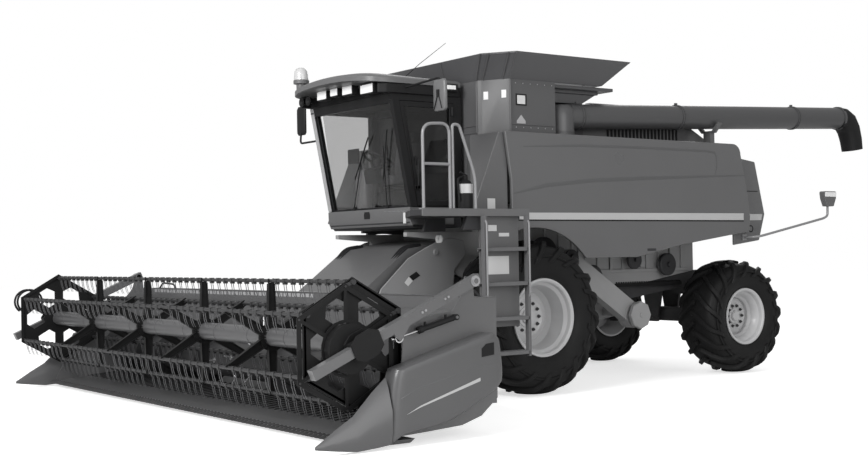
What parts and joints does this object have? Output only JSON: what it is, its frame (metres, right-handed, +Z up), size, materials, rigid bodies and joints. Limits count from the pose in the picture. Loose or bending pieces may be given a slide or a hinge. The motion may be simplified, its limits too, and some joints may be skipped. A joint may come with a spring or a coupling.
{
  "type": "combine harvester",
  "caption": "Self-propelled combine harvester with cab, grain tank, swinging unloading auger, feeder house and a wide grain header with a pickup reel.",
  "frame": {"origin": "on the ground under the centre of the whole machine, header dividers to unloading spout", "axes": "+X forwards, +Y to the driver's left, +Z up"},
  "size_m": [10.7106, 7.77, 4.2201],
  "materials": {
    "tyre": "matte",
    "rim": "satin",
    "frame": "satin",
    "body": "satin",
    "pale": "satin",
    "dark": "satin",
    "reel": "satin",
    "auger": "satin",
    "chrome": "polished",
    "glass": "clear",
    "soft": "matte",
    "seat": "matte",
    "plastic": "matte"
  },
  "bodies": {
    "machine": {"chassis_frame": "frame", "front_axle": "frame", "rear_axle": "frame", "separator_body": "body", "cleaning_shoe": "frame", "rear_hood": "body", "elevators": "frame", "grain_tank": "body", "tank_extension": "dark", "engine_hood": "body", "engine_block": "frame", "front_corner_panels": "body", "cab_floor": "body", "cab_frame": "body", "cab_windows": "glass", "cab_roof": "pale", "roof_fittings": "plastic", "operator_seat": "seat", "steering_column": "plastic", "platform": "dark", "handrails": "pale", "mirrors": "dark", "warning_arm": "dark"},
    "left_front_wheel": {"left_front_tyre": "tyre", "left_front_rim": "rim"},
    "right_front_wheel": {"right_front_tyre": "tyre", "right_front_rim": "rim"},
    "left_steering_knuckle": {"left_knuckle": "frame"},
    "right_steering_knuckle": {"right_knuckle": "frame"},
    "left_rear_wheel": {"left_rear_tyre": "tyre", "left_rear_rim": "rim"},
    "right_rear_wheel": {"right_rear_tyre": "tyre", "right_rear_rim": "rim"},
    "air_screen": {"rotary_screen": "dark"},
    "left_panel": {"left_side_panel": "body"},
    "right_panel": {"right_side_panel": "body"},
    "door": {"cab_door": "body", "door_glass": "glass"},
    "swing_ladder": {"ladder": "dark"},
    "unloading_auger": {"unload_tube": "body", "spout": "soft"},
    "header": {"feeder_house": "body", "header_frame": "dark", "cutterbar": "dark", "end_covers": "body"},
    "header_lift_barrels": {"lift_barrels": "frame"},
    "header_lift_rods": {"lift_rods": "chrome"},
    "intake_auger": {"header_auger": "auger"},
    "reel_lift_arms": {"reel_arms": "dark"},
    "reel_lift_barrels": {"reel_barrels": "dark"},
    "reel_lift_rods": {"reel_rods": "chrome"},
    "reel_slides": {"reel_carriers": "dark"},
    "pickup_reel": {"reel_frame": "reel"},
    "reel_control_ring": {"control_ring": "dark"},
    "bat_1": {"reel_bat_1": "reel"},
    "bat_2": {"reel_bat_2": "reel"},
    "bat_3": {"reel_bat_3": "reel"},
    "bat_4": {"reel_bat_4": "reel"},
    "bat_5": {"reel_bat_5": "reel"},
    "bat_6": {"reel_bat_6": "reel"}
  },
  "joints": [
    {"name": "left_front_wheel_spin", "type": "hinge", "parent": "machine", "child": "left_front_wheel", "pos_m": [1.0575, 1.397, 0.895], "axis": [0, 1, 0], "continuous": true},
    {"name": "right_front_wheel_spin", "type": "hinge", "parent": "machine", "child": "right_front_wheel", "pos_m": [1.0575, -1.397, 0.895], "axis": [0, 1, 0], "continuous": true},
    {"name": "left_steer", "type": "hinge", "parent": "machine", "child": "left_steering_knuckle", "pos_m": [-2.5955, 0.85, 0.748], "axis": [0, 0, 1], "range_deg": [-25, 25]},
    {"name": "right_steer", "type": "hinge", "parent": "machine", "child": "right_steering_knuckle", "pos_m": [-2.5955, -0.85, 0.748], "axis": [0, 0, 1], "range_deg": [-25, 25]},
    {"name": "left_rear_wheel_spin", "type": "hinge", "parent": "left_steering_knuckle", "child": "left_rear_wheel", "pos_m": [-2.5955, 1.272, 0.748], "axis": [0, 1, 0], "continuous": true},
    {"name": "right_rear_wheel_spin", "type": "hinge", "parent": "right_steering_knuckle", "child": "right_rear_wheel", "pos_m": [-2.5955, -1.272, 0.748], "axis": [0, 1, 0], "continuous": true},
    {"name": "air_screen_spin", "type": "hinge", "parent": "machine", "child": "air_screen", "pos_m": [-1.7425, -1.25, 2.6], "axis": [0, 1, 0], "continuous": true},
    {"name": "left_panel_hinge", "type": "hinge", "parent": "machine", "child": "left_panel", "pos_m": [-0.4425, 1.6, 3.05], "axis": [1, 0, 0], "range_deg": [0, 70]},
    {"name": "right_panel_hinge", "type": "hinge", "parent": "machine", "child": "right_panel", "pos_m": [-0.4425, -1.6, 3.05], "axis": [-1, 0, 0], "range_deg": [0, 70]},
    {"name": "door_hinge", "type": "hinge", "parent": "machine", "child": "door", "pos_m": [1.7125, 0.9, 2.8], "axis": [0, 0, 1], "range_deg": [0, 60]},
    {"name": "ladder_swing", "type": "hinge", "parent": "machine", "child": "swing_ladder", "pos_m": [2.1575, 1.9, 1.3], "axis": [0, 0, -1], "range_deg": [0, 90]},
    {"name": "unloading_swing", "type": "hinge", "parent": "machine", "child": "unloading_auger", "pos_m": [0.4175, 1.33, 3.26], "axis": [0, 0, -1], "range_deg": [0, 95]},
    {"name": "header_lift", "type": "hinge", "parent": "machine", "child": "header", "pos_m": [1.6075, 0, 1.55], "axis": [0, -1, 0], "range_deg": [0, 20]},
    {"name": "header_lift_barrel_pivot", "type": "hinge", "parent": "machine", "child": "header_lift_barrels", "pos_m": [1.3175, 0, 0.8], "axis": [0, -1, 0], "range_deg": [0, 13.08]},
    {"name": "header_lift_rod_slide", "type": "slide", "parent": "header_lift_barrels", "child": "header_lift_rods", "axis": [0.9957, 0, 0.0922], "range_m": [0, 0.2382]},
    {"name": "intake_auger_spin", "type": "hinge", "parent": "header", "child": "intake_auger", "pos_m": [3.8975, 0, 0.472], "axis": [0, 1, 0], "continuous": true},
    {"name": "reel_lift", "type": "hinge", "parent": "header", "child": "reel_lift_arms", "pos_m": [3.6575, 0, 1.4], "axis": [0, -1, 0], "range_deg": [0, 25]},
    {"name": "reel_lift_barrel_pivot", "type": "hinge", "parent": "header", "child": "reel_lift_barrels", "pos_m": [3.8575, 0, 1.085], "axis": [0, -1, 0], "range_deg": [0, 31.88]},
    {"name": "reel_lift_rod_slide", "type": "slide", "parent": "reel_lift_barrels", "child": "reel_lift_rods", "axis": [0.972, 0, -0.2351], "range_m": [0, 0.1418]},
    {"name": "reel_fore_aft", "type": "slide", "parent": "reel_lift_arms", "child": "reel_slides", "axis": [0.9166, 0, -0.3998], "range_m": [-0.1, 0.15]},
    {"name": "reel_spin", "type": "hinge", "parent": "reel_slides", "child": "pickup_reel", "pos_m": [4.8175, 0, 0.894], "axis": [0, 1, 0], "continuous": true},
    {"name": "control_ring_spin", "type": "hinge", "parent": "reel_slides", "child": "reel_control_ring", "pos_m": [4.9055, 3.62, 0.86], "axis": [0, 1, 0], "continuous": true},
    {"name": "bat_1_spin", "type": "hinge", "parent": "pickup_reel", "child": "bat_1", "pos_m": [4.8175, 0, 1.4215], "axis": [0, 1, 0], "continuous": true},
    {"name": "bat_2_spin", "type": "hinge", "parent": "pickup_reel", "child": "bat_2", "pos_m": [4.36067, 0, 1.15775], "axis": [0, 1, 0], "continuous": true},
    {"name": "bat_3_spin", "type": "hinge", "parent": "pickup_reel", "child": "bat_3", "pos_m": [4.36067, 0, 0.63025], "axis": [0, 1, 0], "continuous": true},
    {"name": "bat_4_spin", "type": "hinge", "parent": "pickup_reel", "child": "bat_4", "pos_m": [4.8175, 0, 0.3665], "axis": [0, 1, 0], "continuous": true},
    {"name": "bat_5_spin", "type": "hinge", "parent": "pickup_reel", "child": "bat_5", "pos_m": [5.27433, 0, 0.63025], "axis": [0, 1, 0], "continuous": true},
    {"name": "bat_6_spin", "type": "hinge", "parent": "pickup_reel", "child": "bat_6", "pos_m": [5.27433, 0, 1.15775], "axis": [0, 1, 0], "continuous": true}
  ],
  "couplings": [
    {"joint": "right_steer", "follows": "left_steer", "ratio": 1},
    {"joint": "header_lift_barrel_pivot", "follows": "header_lift", "ratio": 0.6391},
    {"joint": "header_lift_rod_slide", "follows": "header_lift", "m_per_rad": 0.6737},
    {"joint": "reel_lift_barrel_pivot", "follows": "reel_lift", "ratio": 1.2634},
    {"joint": "reel_lift_rod_slide", "follows": "reel_lift", "m_per_rad": 0.3204},
    {"joint": "control_ring_spin", "follows": "reel_spin", "ratio": 1},
    {"joint": "bat_1_spin", "follows": "reel_spin", "ratio": -1},
    {"joint": "bat_2_spin", "follows": "reel_spin", "ratio": -1},
    {"joint": "bat_3_spin", "follows": "reel_spin", "ratio": -1},
    {"joint": "bat_4_spin", "follows": "reel_spin", "ratio": -1},
    {"joint": "bat_5_spin", "follows": "reel_spin", "ratio": -1},
    {"joint": "bat_6_spin", "follows": "reel_spin", "ratio": -1}
  ]
}
